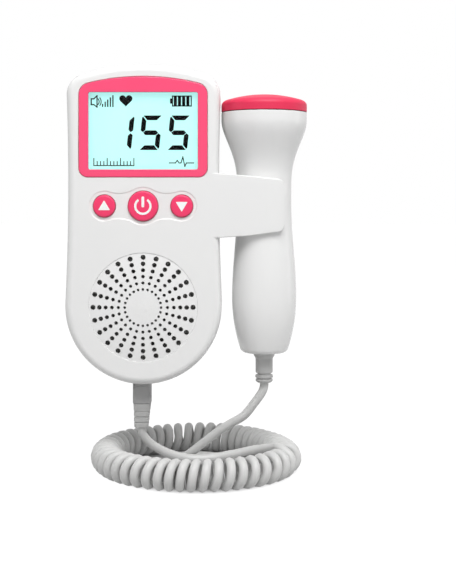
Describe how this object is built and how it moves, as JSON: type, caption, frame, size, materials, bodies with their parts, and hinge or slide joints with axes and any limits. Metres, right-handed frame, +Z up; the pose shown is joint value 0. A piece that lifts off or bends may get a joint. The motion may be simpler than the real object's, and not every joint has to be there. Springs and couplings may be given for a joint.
{
  "type": "fetal doppler monitor",
  "caption": "Upright handheld monitor with a display, push buttons, a round speaker grille and a side holder that grips a corded probe.",
  "frame": {"origin": "middle of the monitor's flat rear face", "axes": "+X to the right seen from the front, +Y out of the rear face, +Z up along the monitor"},
  "size_m": [0.1045, 0.0948, 0.1761],
  "materials": {
    "housing": "glossy injection-moulded ABS",
    "bezel": "glossy moulded plastic",
    "button": "glossy moulded plastic",
    "cap": "satin moulded plastic",
    "lens": "clear acrylic",
    "lcd": "backlit display film",
    "diffuser": "frosted acrylic",
    "frame_plastic": "plain moulded",
    "foam": "closed-cell foam",
    "circuit_board": "solder mask",
    "metal": "nickel plated",
    "dark_plastic": "plain moulded",
    "paper": "pressed paper",
    "cell": "plain wrapped cell",
    "ceramic": "fired ceramic with silver faces",
    "plug_plastic": "moulded PVC",
    "cord": "satin PVC jacket"
  },
  "bodies": {
    "monitor": {"front_cover": "housing", "rear_cover": "housing", "display_bezel": "bezel", "display_lens": "lens", "display_gasket": "foam", "lcd_panel": "lcd", "lcd_backlight": "diffuser", "lcd_holder": "frame_plastic", "main_board": "circuit_board", "tact_switches": "metal", "board_screws": "metal", "speaker_grille": "housing", "speaker_gasket": "foam", "speaker_frame": "dark_plastic", "speaker_cone": "paper", "speaker_magnet": "metal", "batteries": "cell", "battery_springs": "metal", "battery_contacts": "metal", "case_screws": "metal", "headphone_jack": "dark_plastic", "probe_socket": "dark_plastic", "cord_plug": "plug_plastic", "plug_boot": "plug_plastic", "monitor_lead": "cord", "coiled_cord": "cord", "probe_lead": "cord"},
    "power_key": {"power_button": "button"},
    "volume_up_key": {"volume_up_button": "button"},
    "volume_down_key": {"volume_down_button": "button"},
    "door": {"battery_door": "housing"},
    "probe": {"probe_shell": "housing", "probe_cap": "cap", "probe_seal": "foam", "probe_transducers": "ceramic", "transducer_backing": "foam", "probe_board": "circuit_board", "probe_strain_relief": "plug_plastic"}
  },
  "joints": [
    {"name": "power_press", "type": "slide", "parent": "monitor", "child": "power_key", "axis": [0, 1, 0], "range_m": [0, 0.0005], "stiffness_N_per_m": 800, "springref_m": -0.001},
    {"name": "volume_up_press", "type": "slide", "parent": "monitor", "child": "volume_up_key", "axis": [0, 1, 0], "range_m": [0, 0.0005], "stiffness_N_per_m": 800, "springref_m": -0.001},
    {"name": "volume_down_press", "type": "slide", "parent": "monitor", "child": "volume_down_key", "axis": [0, 1, 0], "range_m": [0, 0.0005], "stiffness_N_per_m": 800, "springref_m": -0.001},
    {"name": "battery_door_swing", "type": "hinge", "parent": "monitor", "child": "door", "pos_m": [0, -0.0008, -0.0312], "axis": [-1, 0, 0], "range_deg": [0, 75]},
    {"name": "probe_release", "type": "slide", "parent": "monitor", "child": "probe", "axis": [0.809, 0.5878, 0], "range_m": [0, 0.016]}
  ]
}
